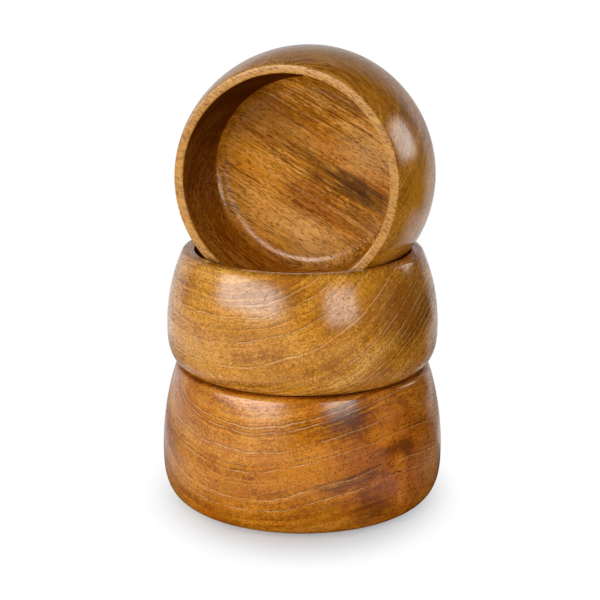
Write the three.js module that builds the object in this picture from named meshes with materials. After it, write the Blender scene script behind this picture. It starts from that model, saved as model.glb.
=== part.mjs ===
// A stack of three turned mango wood bowls: one stands on its base, one stands in its mouth,
// and the third lies on its side in the mouth of the second. Millimetres, +Z up, the origin at
// the middle of the lowest base. Each bowl is one piece of wood, turned inside and out.
import * as THREE from 'three';

// Lower bowl
const LOWER_BELLY_DIAMETER = 159;
const LOWER_BELLY_HEIGHT = 27;
const LOWER_HEIGHT = 77;
const LOWER_RIM_DIAMETER = 142.6;
const LOWER_RIM_THICKNESS = 6;
const LOWER_RIM_ROUNDING = 2.6;
const LOWER_BASE_DIAMETER = 126;
const LOWER_FLOOR_DIAMETER = 122;
const LOWER_FLOOR_THICKNESS = 20;

// Middle bowl
const MIDDLE_BELLY_DIAMETER = 152;
const MIDDLE_BELLY_HEIGHT = 23.5;
const MIDDLE_HEIGHT = 66.6;
const MIDDLE_RIM_DIAMETER = 132.8;
const MIDDLE_RIM_THICKNESS = 6.2;
const MIDDLE_RIM_ROUNDING = 3.2;
const MIDDLE_BASE_DIAMETER = 118;
const MIDDLE_FLOOR_DIAMETER = 112;
const MIDDLE_FLOOR_THICKNESS = 18;

// Top bowl
const TOP_BELLY_DIAMETER = 141.2;
const TOP_BELLY_HEIGHT = 20;
const TOP_HEIGHT = 65;
const TOP_RIM_DIAMETER = 124;
const TOP_RIM_THICKNESS = 4.7;
const TOP_RIM_ROUNDING = 1.2;
const TOP_BASE_DIAMETER = 114;
const TOP_FLOOR_DIAMETER = 106.8;
const TOP_FLOOR_THICKNESS = 21;

// How the top bowl lies: its mouth turned from the front towards -X and raised, and its axis
// a little to the right of the axis of the stack.
const TOP_TURN_DEGREES = 17.2;
const TOP_LEAN_DEGREES = 3.4;
const TOP_SIDESTEP = 1;

// Turning that the three bowls share
const FOOT_FULLNESS = 2.7;
const INNER_EDGE_ROUNDING = 1;
const INNER_WALL_SWELL = 2.2;
const COVE_WIDTH = 7;
const COVE_RISE = 3;

// A bowl is set down this far above the height at which it would touch.
const SEAT_CLEARANCE = 0.4;

// Wood
const LOWER_COLOUR = 0x9a5f28;
const MIDDLE_COLOUR = 0xa5692d;
const TOP_COLOUR = 0xa0642b;
const WOOD_ROUGHNESS = 0.32;

// Facets
const TURN_STEPS = 60;
const FOOT_STEPS = 7;
const WALL_STEPS = 6;
const RIM_STEPS = 4;
const INNER_EDGE_STEPS = 2;
const INNER_WALL_STEPS = 5;
const COVE_STEPS = 4;
const RIM_SEAT_STEPS = 180;
const HALVINGS = 40;

/** Sizes of one bowl as radii and heights, with the arcs of its outer wall and rim edge worked out. */
function bowlSizes(belly, bellyHeight, height, rim, rimThickness, rimRounding, base, floor, floorThickness) {
  const bellyRadius = belly / 2;
  const rimRadius = rim / 2;
  const rise = height - bellyHeight;
  const draw = bellyRadius - rimRadius;
  const wallArc = (rise * rise + draw * draw) / (2 * draw);
  const wallCentre = bellyRadius - wallArc;
  const roundingHeight = height - rimRounding;
  const reach = wallArc - rimRounding;
  const roundingCentre = wallCentre + Math.sqrt(reach ** 2 - (roundingHeight - bellyHeight) ** 2);
  return {
    bellyRadius,
    bellyHeight,
    height,
    wallArc,
    wallCentre,
    rimRounding,
    roundingHeight,
    roundingCentre,
    wallEnd: Math.atan2(roundingHeight - bellyHeight, roundingCentre - wallCentre),
    mouthRadius: rimRadius - rimThickness,
    baseRadius: base / 2,
    floorRadius: floor / 2,
    floorThickness,
  };
}

/** Point at an angle on an arc of the section. */
function onArc(centreRadius, centreHeight, radius, angle) {
  return new THREE.Vector2(centreRadius + radius * Math.cos(angle), centreHeight + radius * Math.sin(angle));
}

/** Foot of the outside: a full curve from the edge of the flat base up to the belly. */
function footPoints(bowl) {
  const points = [];
  const spread = bowl.bellyRadius - bowl.baseRadius;
  for (let step = 0; step <= FOOT_STEPS; step += 1) {
    const angle = (step / FOOT_STEPS) * (Math.PI / 2);
    const out = Math.sin(angle) ** (2 / FOOT_FULLNESS);
    const up = 1 - Math.max(Math.cos(angle), 0) ** (2 / FOOT_FULLNESS);
    points.push(new THREE.Vector2(bowl.baseRadius + spread * out, bowl.bellyHeight * up));
  }
  return points;
}

/** Outer wall from the belly to the rim, and the rounded outer edge of the rim. */
function wallPoints(bowl) {
  const points = [];
  for (let step = 1; step <= WALL_STEPS; step += 1) {
    const angle = bowl.wallEnd * (step / WALL_STEPS);
    points.push(onArc(bowl.wallCentre, bowl.bellyHeight, bowl.wallArc, angle));
  }
  for (let step = 1; step <= RIM_STEPS; step += 1) {
    const angle = THREE.MathUtils.lerp(bowl.wallEnd, Math.PI / 2, step / RIM_STEPS);
    points.push(onArc(bowl.roundingCentre, bowl.roundingHeight, bowl.rimRounding, angle));
  }
  return points;
}

/** Rounded inner edge of the rim, from the flat top into the mouth. */
function innerEdgePoints(bowl) {
  const points = [];
  for (let step = 0; step <= INNER_EDGE_STEPS; step += 1) {
    const angle = THREE.MathUtils.lerp(Math.PI / 2, Math.PI, step / INNER_EDGE_STEPS);
    const centre = bowl.mouthRadius + INNER_EDGE_ROUNDING;
    points.push(onArc(centre, bowl.height - INNER_EDGE_ROUNDING, INNER_EDGE_ROUNDING, angle));
  }
  return points;
}

/** Swelling inner wall down to the edge of the floor, then the cove that runs into the flat floor. */
function insidePoints(bowl) {
  const top = new THREE.Vector2(bowl.mouthRadius, bowl.height - INNER_EDGE_ROUNDING);
  const foot = new THREE.Vector2(bowl.floorRadius, bowl.floorThickness + COVE_RISE);
  const control = top.clone().add(foot).multiplyScalar(0.5);
  control.x += 2 * INNER_WALL_SWELL;
  const wall = new THREE.QuadraticBezierCurve(top, control, foot);
  const points = wall.getPoints(INNER_WALL_STEPS).slice(1);
  const coveArc = (COVE_WIDTH ** 2 + COVE_RISE ** 2) / (2 * COVE_RISE);
  const coveAngle = Math.asin(COVE_WIDTH / coveArc);
  const flatRadius = bowl.floorRadius - COVE_WIDTH;
  for (let step = 1; step <= COVE_STEPS; step += 1) {
    const angle = coveAngle * (1 - step / COVE_STEPS) - Math.PI / 2;
    points.push(onArc(flatRadius, bowl.floorThickness + coveArc, coveArc, angle));
  }
  return points;
}

/** The turned solid, its axis on +Z and its base on the ground plane. */
function bowlGeometry(bowl) {
  const section = [
    new THREE.Vector2(0, 0),
    ...footPoints(bowl),
    ...wallPoints(bowl),
    ...innerEdgePoints(bowl),
    ...insidePoints(bowl),
    new THREE.Vector2(0, bowl.floorThickness),
  ];
  const geometry = new THREE.LatheGeometry(section, TURN_STEPS);
  geometry.rotateX(Math.PI / 2);
  return geometry;
}

/** Radius of the outside at a height above the base. */
function outsideRadius(bowl, height) {
  if (height < bowl.bellyHeight) {
    const share = 1 - (1 - height / bowl.bellyHeight) ** FOOT_FULLNESS;
    return bowl.baseRadius + (bowl.bellyRadius - bowl.baseRadius) * share ** (1 / FOOT_FULLNESS);
  }
  const wall = bowl.wallCentre + Math.sqrt(bowl.wallArc ** 2 - (height - bowl.bellyHeight) ** 2);
  const above = height - bowl.roundingHeight - bowl.rimRounding * Math.sin(bowl.wallEnd);
  if (above < 0) {
    return wall;
  }
  return bowl.roundingCentre + Math.sqrt(bowl.rimRounding ** 2 - (height - bowl.roundingHeight) ** 2);
}

/** Whether a point, given in the frame of the bowl, lies within its outside. */
function isWithin(bowl, point) {
  if (point.z <= 0 || point.z >= bowl.height) {
    return false;
  }
  return Math.hypot(point.x, point.y) < outsideRadius(bowl, point.z);
}

/** Points all round the inner edge of a level bowl's rim, where another bowl can rest. */
function rimSeatPoints(bowl, baseHeight) {
  const points = [];
  for (let step = 0; step < RIM_SEAT_STEPS; step += 1) {
    const angle = (step / RIM_SEAT_STEPS) * 2 * Math.PI;
    for (const edge of innerEdgePoints(bowl)) {
      const height = baseHeight + edge.y;
      points.push(new THREE.Vector3(edge.x * Math.cos(angle), edge.x * Math.sin(angle), height));
    }
  }
  return points;
}

/** Lowest height between two limits at which a bowl, placed by placeAt(height), clears every point. */
function clearHeight(bowl, placeAt, points, low, high) {
  let blocked = low;
  let clear = high;
  for (let step = 0; step < HALVINGS; step += 1) {
    const height = (blocked + clear) / 2;
    const inverse = placeAt(height).invert();
    if (points.some((point) => isWithin(bowl, point.clone().applyMatrix4(inverse)))) {
      blocked = height;
    } else {
      clear = height;
    }
  }
  return clear;
}

/** Height of the base of an upright bowl that stands in the mouth of a level one. */
function standingHeight(bowl, seat) {
  const placeAt = (height) => new THREE.Matrix4().makeTranslation(0, 0, height);
  const rim = seat[0].z;
  return clearHeight(bowl, placeAt, seat, rim - bowl.bellyHeight, rim + bowl.height) + SEAT_CLEARANCE;
}

const turn = THREE.MathUtils.degToRad(TOP_TURN_DEGREES);
const lean = THREE.MathUtils.degToRad(TOP_LEAN_DEGREES);

/** Place of a bowl lying on its side, its base this far behind the axis of the stack and this high. */
function lyingPlace(setback, height) {
  const behind = new THREE.Vector3(Math.sin(turn), Math.cos(turn), 0);
  const aside = new THREE.Vector3(Math.cos(turn), -Math.sin(turn), 0);
  const base = new THREE.Vector3(0, 0, height);
  base.addScaledVector(behind, setback);
  base.addScaledVector(aside, TOP_SIDESTEP);
  const rotation = new THREE.Euler(Math.PI / 2 - lean, 0, -turn, 'ZXY');
  const noScale = new THREE.Vector3(1, 1, 1);
  return new THREE.Matrix4().compose(base, new THREE.Quaternion().setFromEuler(rotation), noScale);
}

/** Place of a lying bowl that rests on the rim with its foot behind and its wall in front. */
function restingPlace(bowl, seat) {
  const mouthward = new THREE.Vector3(-Math.sin(turn), -Math.cos(turn), 0);
  const front = seat.filter((point) => point.dot(mouthward) > 0);
  const back = seat.filter((point) => point.dot(mouthward) <= 0);
  const rim = seat[0].z;
  const need = (points, setback) => {
    const placeAt = (height) => lyingPlace(setback, height);
    return clearHeight(bowl, placeAt, points, rim, rim + 2 * bowl.bellyRadius);
  };
  let near = 0;
  let far = bowl.height;
  for (let step = 0; step < HALVINGS; step += 1) {
    const setback = (near + far) / 2;
    if (need(back, setback) < need(front, setback)) {
      near = setback;
    } else {
      far = setback;
    }
  }
  return lyingPlace(far, Math.max(need(back, far), need(front, far)) + SEAT_CLEARANCE);
}

/** One bowl as a mesh with its own wood. */
function bowlMesh(name, bowl, colour) {
  const wood = new THREE.MeshStandardMaterial({ color: colour, roughness: WOOD_ROUGHNESS, metalness: 0 });
  const mesh = new THREE.Mesh(bowlGeometry(bowl), wood);
  mesh.name = name;
  return mesh;
}

const lower = bowlSizes(
  LOWER_BELLY_DIAMETER, LOWER_BELLY_HEIGHT, LOWER_HEIGHT, LOWER_RIM_DIAMETER, LOWER_RIM_THICKNESS,
  LOWER_RIM_ROUNDING, LOWER_BASE_DIAMETER, LOWER_FLOOR_DIAMETER, LOWER_FLOOR_THICKNESS,
);
const middle = bowlSizes(
  MIDDLE_BELLY_DIAMETER, MIDDLE_BELLY_HEIGHT, MIDDLE_HEIGHT, MIDDLE_RIM_DIAMETER, MIDDLE_RIM_THICKNESS,
  MIDDLE_RIM_ROUNDING, MIDDLE_BASE_DIAMETER, MIDDLE_FLOOR_DIAMETER, MIDDLE_FLOOR_THICKNESS,
);
const top = bowlSizes(
  TOP_BELLY_DIAMETER, TOP_BELLY_HEIGHT, TOP_HEIGHT, TOP_RIM_DIAMETER, TOP_RIM_THICKNESS,
  TOP_RIM_ROUNDING, TOP_BASE_DIAMETER, TOP_FLOOR_DIAMETER, TOP_FLOOR_THICKNESS,
);

const lowerBowl = bowlMesh('lower_bowl', lower, LOWER_COLOUR);
const middleBowl = bowlMesh('middle_bowl', middle, MIDDLE_COLOUR);
const topBowl = bowlMesh('top_bowl', top, TOP_COLOUR);

middleBowl.position.z = standingHeight(middle, rimSeatPoints(lower, 0));
topBowl.applyMatrix4(restingPlace(top, rimSeatPoints(middle, middleBowl.position.z)));

const stack = new THREE.Group();
stack.add(lowerBowl, middleBowl, topBowl);

export default stack;
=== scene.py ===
"""A stack of three turned mango wood bowls on a plain white studio floor."""

import logging
import math
from dataclasses import dataclass, field
from enum import Enum
from typing import Any

import bpy
from mathutils import Euler, Matrix, Vector


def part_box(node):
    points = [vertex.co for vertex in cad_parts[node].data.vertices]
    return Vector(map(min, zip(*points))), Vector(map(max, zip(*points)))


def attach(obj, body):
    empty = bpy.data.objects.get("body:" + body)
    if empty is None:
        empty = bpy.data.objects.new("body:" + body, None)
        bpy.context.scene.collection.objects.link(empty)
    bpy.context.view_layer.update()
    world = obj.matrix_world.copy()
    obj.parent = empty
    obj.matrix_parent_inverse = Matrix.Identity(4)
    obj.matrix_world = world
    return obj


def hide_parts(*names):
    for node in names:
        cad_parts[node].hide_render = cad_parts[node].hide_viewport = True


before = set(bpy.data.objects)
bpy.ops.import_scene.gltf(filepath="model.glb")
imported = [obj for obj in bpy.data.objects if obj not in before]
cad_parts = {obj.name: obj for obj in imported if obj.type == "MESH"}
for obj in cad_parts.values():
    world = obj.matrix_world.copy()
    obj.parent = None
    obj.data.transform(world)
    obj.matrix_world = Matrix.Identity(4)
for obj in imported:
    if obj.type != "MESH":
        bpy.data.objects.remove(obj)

LOG = logging.getLogger("bowls")
MILLIMETRE = 0.001
PHOTO_WIDTH = 600
SENSOR_WIDTH = 36.0
MIDDLE_TONE = 0.5
NOISE_FINENESS = 0.55
BAND_FINENESS = 0.6

Colour = tuple[float, float, float]
Point = tuple[float, float, float]
Span = tuple[float, float]

# A Mix node has inputs of the same name for each kind of data, so its colours are found by number.
MIX_COLOUR_INPUTS = (6, 7)
MIX_COLOUR_OUTPUT = 2

# Lacquer mirrors the floor, and the world below it goes on where the floor ends, so both share these.
MIRRORED_FLOOR = 0.8
DARK_SIDE: Span = (0.77, 0.69)


class Duty(Enum):
    """What a lamp does: light the wood, or shine in its lacquer."""

    LIGHT = (True, False)
    SHINE = (False, True)


class Edge(Enum):
    """Whether a lamp is even to its edge or fades towards it."""

    EVEN = "even"
    FADING = "fading"


class Wire:
    """A shader socket that takes part in Python expressions."""

    def __init__(self, graph: "Graph", socket: bpy.types.NodeSocket) -> None:
        """Keep the graph and the socket."""
        self.graph = graph
        self.socket = socket

    def _math(self, operation: str, *values: Any) -> "Wire":
        """Add a Math node by the name of its operation; its sockets take wires or numbers, in order."""
        return self.graph.node("ShaderNodeMath", {"operation": operation}, dict(enumerate(values)))

    def __add__(self, other: Any) -> "Wire":
        """Sum."""
        return self._math("ADD", self, other)

    __radd__ = __add__

    def __mul__(self, other: Any) -> "Wire":
        """Product."""
        return self._math("MULTIPLY", self, other)

    __rmul__ = __mul__

    def __sub__(self, other: Any) -> "Wire":
        """Difference."""
        return self._math("SUBTRACT", self, other)

    def __rsub__(self, other: Any) -> "Wire":
        """Difference from a number."""
        return self._math("SUBTRACT", other, self)

    def __pow__(self, other: Any) -> "Wire":
        """Power."""
        return self._math("POWER", self, other)

    def __abs__(self) -> "Wire":
        """Absolute value."""
        return self._math("ABSOLUTE", self)

    def larger(self, other: Any) -> "Wire":
        """The larger of two values."""
        return self._math("MAXIMUM", self, other)

    def step(self, low: float, high: float) -> "Wire":
        """Rise smoothly from 0 to 1 between two values.

        Args:
            low: Value at which the result is 0.
            high: Value at which the result is 1; it may be the lower of the two.

        Returns:
            The wire of the result.
        """
        settings = {"interpolation_type": "SMOOTHSTEP"}
        if low <= high:
            return self.graph.node("ShaderNodeMapRange", settings, {0: self, 1: low, 2: high})
        return 1 - self.graph.node("ShaderNodeMapRange", settings, {0: self, 1: high, 2: low})

    def step_near(self, value: float, span: Span) -> "Wire":
        """Rise smoothly from 0 to 1 between two offsets from a value."""
        return self.step(value + span[0], value + span[1])

    def other(self, output: Any) -> "Wire":
        """Another output of the node that this wire leaves, by name or number."""
        return Wire(self.graph, self.socket.node.outputs[output])


class Graph:
    """A node tree that is filled by expressions."""

    def __init__(self, tree: bpy.types.NodeTree) -> None:
        """Empty the tree and keep it."""
        self.tree = tree
        tree.nodes.clear()

    def node(self, kind: str, settings: dict[str, Any], inputs: dict[Any, Any], output: Any = 0) -> Wire:
        """Add any node.

        Args:
            kind: Type of the node.
            settings: Properties of the node, set first; "stops" holds a ramp's places and colours.
            inputs: Wires, numbers or tuples by socket name or number.
            output: Name or number of the socket to return.

        Returns:
            The wire of the chosen output.
        """
        made = self.tree.nodes.new(kind)
        for key, value in settings.items():
            if key == "stops":
                self._fill_ramp(made.color_ramp, value)
            else:
                setattr(made, key, value)
        for key, value in inputs.items():
            socket = made.inputs[key]
            if isinstance(value, Wire):
                self.tree.links.new(value.socket, socket)
            else:
                socket.default_value = value
        # The node at the end of a tree has no output, and its first input stands in for one.
        return Wire(self, made.outputs[output]) if made.outputs else Wire(self, made.inputs[0])

    @staticmethod
    def _fill_ramp(ramp: bpy.types.ColorRamp, stops: list[tuple[float, Colour]]) -> None:
        """Give a colour ramp its stops.

        Args:
            ramp: The ramp of a new node.
            stops: Places and colours, from low to high.
        """
        while len(ramp.elements) < len(stops):
            ramp.elements.new(1.0)
        for element, (place, colour) in zip(ramp.elements, stops):
            element.position = place
            element.color = (*colour, 1.0)

    def mapped(self, source: Wire, matrix: Matrix) -> Wire:
        """Points in millimetres in a frame that is given by its matrix.

        Args:
            source: Wire of points in metres.
            matrix: Place of the frame, in metres.

        Returns:
            The wire of the points in that frame.
        """
        inputs = {
            "Vector": source,
            "Location": matrix.to_translation(),
            "Rotation": matrix.to_euler(),
            "Scale": (MILLIMETRE,) * 3,
        }
        return self.node("ShaderNodeMapping", {"vector_type": "TEXTURE"}, inputs)

    def vector(self, operation: str, first: Any, second: Any, output: Any = 0) -> Wire:
        """Add a Vector Math node of two vectors."""
        return self.node("ShaderNodeVectorMath", {"operation": operation}, {0: first, 1: second}, output)

    def length(self, source: Wire) -> Wire:
        """Length of a vector."""
        return self.vector("LENGTH", source, (0.0, 0.0, 0.0), "Value")

    def squeezed(self, points: Wire, share: float) -> Wire:
        """Points squeezed along Z, on which a pattern is drawn out along Z."""
        return self.vector("MULTIPLY", points, (1.0, 1.0, share))

    def parts(self, source: Wire) -> tuple[Wire, Wire, Wire]:
        """The three coordinates of a vector."""
        first = self.node("ShaderNodeSeparateXYZ", {}, {0: source})
        return first, first.other(1), first.other(2)

    def noise(
        self, points: Wire, length: float, detail: float = 2.0, output: str = "Fac",
        fineness: float = NOISE_FINENESS,
    ) -> Wire:
        """Soft noise.

        Args:
            points: Where it is read, in millimetres.
            length: Size of its features.
            detail: Count of finer layers.
            output: "Fac" for a value, "Color" for three of them.
            fineness: Strength of each layer against the one before.

        Returns:
            The wire of the noise.
        """
        inputs = {
            "Vector": points,
            "Scale": 1 / length,
            "Detail": detail,
            "Roughness": fineness,
        }
        return self.node("ShaderNodeTexNoise", {"noise_dimensions": "3D"}, inputs, output)

    def bands(self, value: Wire, length: float, detail: float = 2.0) -> Wire:
        """Soft noise along one value, with features of a given length."""
        inputs = {"W": value, "Scale": 1 / length, "Detail": detail, "Roughness": BAND_FINENESS}
        return self.node("ShaderNodeTexNoise", {"noise_dimensions": "1D"}, inputs, "Fac")

    def wander(self, points: Wire, length: float, detail: float, reach: Point) -> Wire:
        """Shift to and fro in soft waves.

        Args:
            points: Where it is read, in millimetres.
            length: Length of the waves.
            detail: Count of finer layers.
            reach: Full width of the shift along each axis.

        Returns:
            The wire of the shift.
        """
        waves = self.noise(points, length, detail, "Color")
        centred = self.vector("SUBTRACT", waves, (MIDDLE_TONE,) * 3)
        return self.vector("MULTIPLY", centred, reach)

    def bent(self, points: Wire, length: float, reach: float) -> Wire:
        """Points that wander from their place by some millimetres, in waves of a given length."""
        return self.vector("ADD", points, self.wander(points, length, detail=2.0, reach=(reach,) * 3))

    def scattered(self, dimensions: str, inputs: dict[str, Any]) -> tuple[Wire, Wire]:
        """Points scattered at random.

        Args:
            dimensions: "3D" for points in space, "1D" for points along one value.
            inputs: Sockets of the node by name.

        Returns:
            The distance to the nearest point, and a number of that point's own.
        """
        settings = {"voronoi_dimensions": dimensions}
        distance = self.node("ShaderNodeTexVoronoi", settings, inputs, "Distance")
        own, _, _ = self.parts(distance.other("Color"))
        return distance, own

    def ramp(self, value: Wire, stops: list[tuple[float, Colour]]) -> Wire:
        """Colour of a value on a ramp of stops."""
        return self.node("ShaderNodeValToRGB", {"stops": stops}, {0: value}, "Color")

    def blend(self, share: Any, first: Any, second: Any) -> Wire:
        """Mix two colours.

        Args:
            share: Share of the second colour.
            first: Wire or colour below.
            second: Wire or colour above.

        Returns:
            The wire of the mixed colour.
        """
        inputs: dict[Any, Any] = {0: share}
        for socket, value in zip(MIX_COLOUR_INPUTS, (first, second)):
            inputs[socket] = value if isinstance(value, Wire) else (*value, 1.0)
        return self.node("ShaderNodeMix", {"data_type": "RGBA"}, inputs, MIX_COLOUR_OUTPUT)


@dataclass(frozen=True)
class Zones:
    """Parts of a bowl's surface, each 1 on it and 0 elsewhere."""

    inside: Wire
    wall: Wire
    cove: Wire
    rim: Wire
    back: Wire
    right: Wire


@dataclass(frozen=True)
class ZoneEdges:
    """Where the parts of a bowl's surface begin and end, in millimetres.

    Each span is counted from a size of the bowl; back and right are places in the bowl's own frame.
    """

    floor: Span = (-1.0, -0.5)
    below_rim: Span = (-0.6, -2.0)
    mouth: Span = (2.6, 1.8)
    wall_foot: Span = (-0.3, 0.6)
    cove_start: Span = (-3.0, 1.0)
    cove_end: Span = (1.0, 0.0)
    rim: Span = (-0.9, -0.2)
    back: Span = (-70.0, 62.0)
    right: Span = (0.0, 25.0)


@dataclass(frozen=True)
class Grain:
    """How the wood of a bowl lies: the line of the pith in the bowl's own frame, and how the rings wander.

    The heading is in degrees, lengths are in millimetres.
    """

    heading: float
    pith: Point
    wave_squeeze: float = 0.35
    slow_length: float = 42.0
    slow_reach: Point = (9.0, 9.0, 0.0)
    quick_length: float = 8.0
    quick_reach: Point = (2.4, 2.4, 0.0)

    def axes(self) -> Matrix:
        """Frame whose Z runs along the grain, in metres."""
        turn = Euler((math.pi / 2, 0.0, math.radians(self.heading)), "XYZ")
        return Matrix.Translation(Vector(self.pith) * MILLIMETRE) @ turn.to_matrix().to_4x4()

    def ring_radius(self, graph: Graph, along: Wire) -> Wire:
        """Distance from the pith, with the slow and quick wander of real growth.

        Args:
            graph: Node tree of the wood.
            along: Points in the frame of the grain.

        Returns:
            The wire of the distance.
        """
        drawn = graph.squeezed(along, self.wave_squeeze)
        slow = graph.wander(drawn, self.slow_length, detail=1.0, reach=self.slow_reach)
        quick = graph.wander(drawn, self.quick_length, detail=3.0, reach=self.quick_reach)
        moved = graph.vector("ADD", graph.vector("ADD", along, slow), quick)
        return graph.length(graph.squeezed(moved, 0.0))


@dataclass(frozen=True)
class Palette:
    """Colours of one piece of mango wood, its yellow and red patches and the painted shade on its inner
    wall; lengths in millimetres.
    """

    dark: Colour
    golden: Colour
    light: Colour
    yellow: Colour
    red: Colour
    pale_line: Colour = (0.74, 0.42, 0.16)
    pore: Colour = (0.085, 0.026, 0.002)
    dark_line: Colour = (0.10, 0.034, 0.004)
    rim: Colour = (0.60, 0.29, 0.060)
    # Painted shade: darkens the inner wall, most towards the back of the bowl.
    painted_wall_shade: Colour = (0.074, 0.012, 0.0004)
    tone_stops: tuple[float, float, float] = (0.15, 0.5, 0.85)
    patch_squeeze: float = 0.3
    yellow_length: float = 19.0
    yellow_edge: Span = (0.48, 0.72)
    yellow_share: float = 0.55
    red_length: float = 24.0
    red_edge: Span = (0.52, 0.3)
    red_share: float = 0.5

    def plain(self, graph: Graph, along: Wire, tone: Wire) -> Wire:
        """Colour of the wood between its lines, pores and stains.

        Args:
            graph: Node tree of the wood.
            along: Points in the frame of the grain.
            tone: Lightness from 0 to 1.

        Returns:
            The wire of the colour.
        """
        colour = graph.ramp(tone, list(zip(self.tone_stops, (self.dark, self.golden, self.light))))
        drawn = graph.squeezed(along, self.patch_squeeze)
        yellow = graph.noise(drawn, self.yellow_length).step(*self.yellow_edge)
        colour = graph.blend(yellow * self.yellow_share, colour, self.yellow)
        red = graph.noise(drawn, self.red_length, detail=3.0).step(*self.red_edge)
        return graph.blend(red * self.red_share, colour, self.red)


@dataclass(frozen=True)
class Tones:
    """Layers of light and dark in the wood, each with its contrast; lengths in millimetres."""

    fibre_contrast: float = 1.7
    mottle_contrast: float = 0.8
    fine_contrast: float = 0.65
    wide_contrast: float = 0.9
    cloud_contrast: float = 1.2
    fibre_width: float = 1.5
    fibre_squeeze: float = 0.035
    fibre_fineness: float = 0.8
    mottle_length: float = 3.0
    mottle_squeeze: float = 0.3
    mottle_fineness: float = 0.7
    fine_band: float = 1.3
    wide_band: float = 11.0
    cloud_length: float = 28.0
    cloud_squeeze: float = 0.5

    def offset(self, graph: Graph, along: Wire, radius: Wire) -> Wire:
        """Lightness above or below the middle tone.

        Args:
            graph: Node tree of the wood.
            along: Points in the frame of the grain.
            radius: Distance from the pith.

        Returns:
            The wire of the sum of all layers.
        """
        drawn_fibres = graph.squeezed(along, self.fibre_squeeze)
        fibres = graph.noise(drawn_fibres, self.fibre_width, detail=4.0, fineness=self.fibre_fineness)
        drawn_mottle = graph.squeezed(along, self.mottle_squeeze)
        mottle = graph.noise(drawn_mottle, self.mottle_length, detail=3.0, fineness=self.mottle_fineness)
        drawn_clouds = graph.squeezed(along, self.cloud_squeeze)
        clouds = graph.noise(drawn_clouds, self.cloud_length, detail=3.0)
        layers = (
            (graph.bands(radius, self.wide_band), self.wide_contrast),
            (graph.bands(radius, self.fine_band), self.fine_contrast),
            (fibres, self.fibre_contrast),
            (mottle, self.mottle_contrast),
            (clouds, self.cloud_contrast),
        )
        return sum((layer - MIDDLE_TONE) * contrast for layer, contrast in layers)


@dataclass(frozen=True)
class GrowthLines:
    """Thin pale lines between growth zones with dark ones beside them; they come and go along the grain.

    Some lie at given distances from the pith, the others are scattered between. Lengths are in millimetres,
    but the widths of scattered lines are shares of their spacing.
    """

    rings: tuple[float, ...] = ()
    pale_share: float = 0.85
    dark_share: float = 0.45
    pale_width: Span = (0.45, 0.1)
    dark_width: Span = (0.5, 0.15)
    dark_offset: float = 0.7
    scatter_spacing: float = 4.2
    scatter_pick: Span = (0.35, 1.0)
    scatter_share: float = 0.75
    scatter_pale_width: Span = (0.06, 0.01)
    scatter_dark_width: Span = (0.2, 0.08)
    break_squeeze: float = 0.4
    break_length: float = 9.0
    pale_breaks: Span = (0.33, 0.58)
    dark_breaks: Span = (0.36, 0.6)
    break_depth: float = 0.8
    least_share: float = 0.1

    def shares(self, graph: Graph, along: Wire, radius: Wire) -> tuple[Wire, Wire]:
        """Find the lines.

        Args:
            graph: Node tree of the wood.
            along: Points in the frame of the grain.
            radius: Distance from the pith.

        Returns:
            The shares of the pale lines and of the dark ones.
        """
        cell, own = graph.scattered("1D", {"W": radius, "Scale": 1 / self.scatter_spacing})
        strong = own.step(*self.scatter_pick) * self.scatter_share
        pale = cell.step(*self.scatter_pale_width) * strong
        dark = cell.step(*self.scatter_dark_width) * strong
        for ring in self.rings:
            pale = pale.larger(abs(radius - ring).step(*self.pale_width))
            dark = dark.larger(abs(radius - (ring - self.dark_offset)).step(*self.dark_width))
        breaks = graph.noise(graph.squeezed(along, self.break_squeeze), self.break_length)
        pale = pale * (breaks.step(*self.pale_breaks) * self.break_depth + self.least_share)
        dark = dark * (breaks.step(*self.dark_breaks) * self.break_depth + self.least_share)
        return pale, dark


@dataclass(frozen=True)
class Pores:
    """Vessels of the wood: dots across the grain and dashes along it; lengths in millimetres.

    The shares say how many of them show outside, inside and on the rim; the edge is a share of the spacing.
    """

    spacing: float
    outer_share: float
    inner_share: float
    rim_share: float
    squeeze: float = 0.2
    row_contrast: float = 0.7
    row_length: float = 1.5
    cluster_length: float = 9.0
    cluster_squeeze: float = 0.3
    line_share: float = 0.6
    edge: Span = (0.43, 0.26)
    pick: Span = (0.0, 0.1)

    def share(self, graph: Graph, along: Wire, radius: Wire, dark: Wire, zones: Zones) -> Wire:
        """Find the pores, in clusters, in rows and beside the dark lines.

        Args:
            graph: Node tree of the wood.
            along: Points in the frame of the grain.
            radius: Distance from the pith.
            dark: Share of the dark growth lines.
            zones: Parts of the bowl's surface.

        Returns:
            The wire of their share, 1 in a pore.
        """
        drawn = graph.squeezed(along, self.squeeze)
        distance, own = graph.scattered("3D", {"Vector": drawn, "Scale": 1 / self.spacing})
        drawn_clusters = graph.squeezed(along, self.cluster_squeeze)
        clusters = graph.noise(drawn_clusters, self.cluster_length) - MIDDLE_TONE
        rows = (graph.bands(radius, self.row_length, detail=1.0) - MIDDLE_TONE) * self.row_contrast
        inside = zones.inside * (self.inner_share - self.outer_share)
        rim = zones.rim * (self.rim_share - self.outer_share)
        shown = inside + rim + clusters + rows + dark * self.line_share + self.outer_share
        return distance.step(*self.edge) * (own + shown - 1).step(*self.pick)


@dataclass(frozen=True)
class Hairlines:
    """Long, thin, dark lines along the grain; width in millimetres."""

    strength: float
    width: float = 1.3
    squeeze: float = 0.012
    edge: Span = (0.62, 0.74)

    def share(self, graph: Graph, along: Wire) -> Wire:
        """Share of the lines at points in the frame of the grain."""
        drawn = graph.squeezed(along, self.squeeze)
        return graph.noise(drawn, self.width, detail=1.0).step(*self.edge) * self.strength


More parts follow.
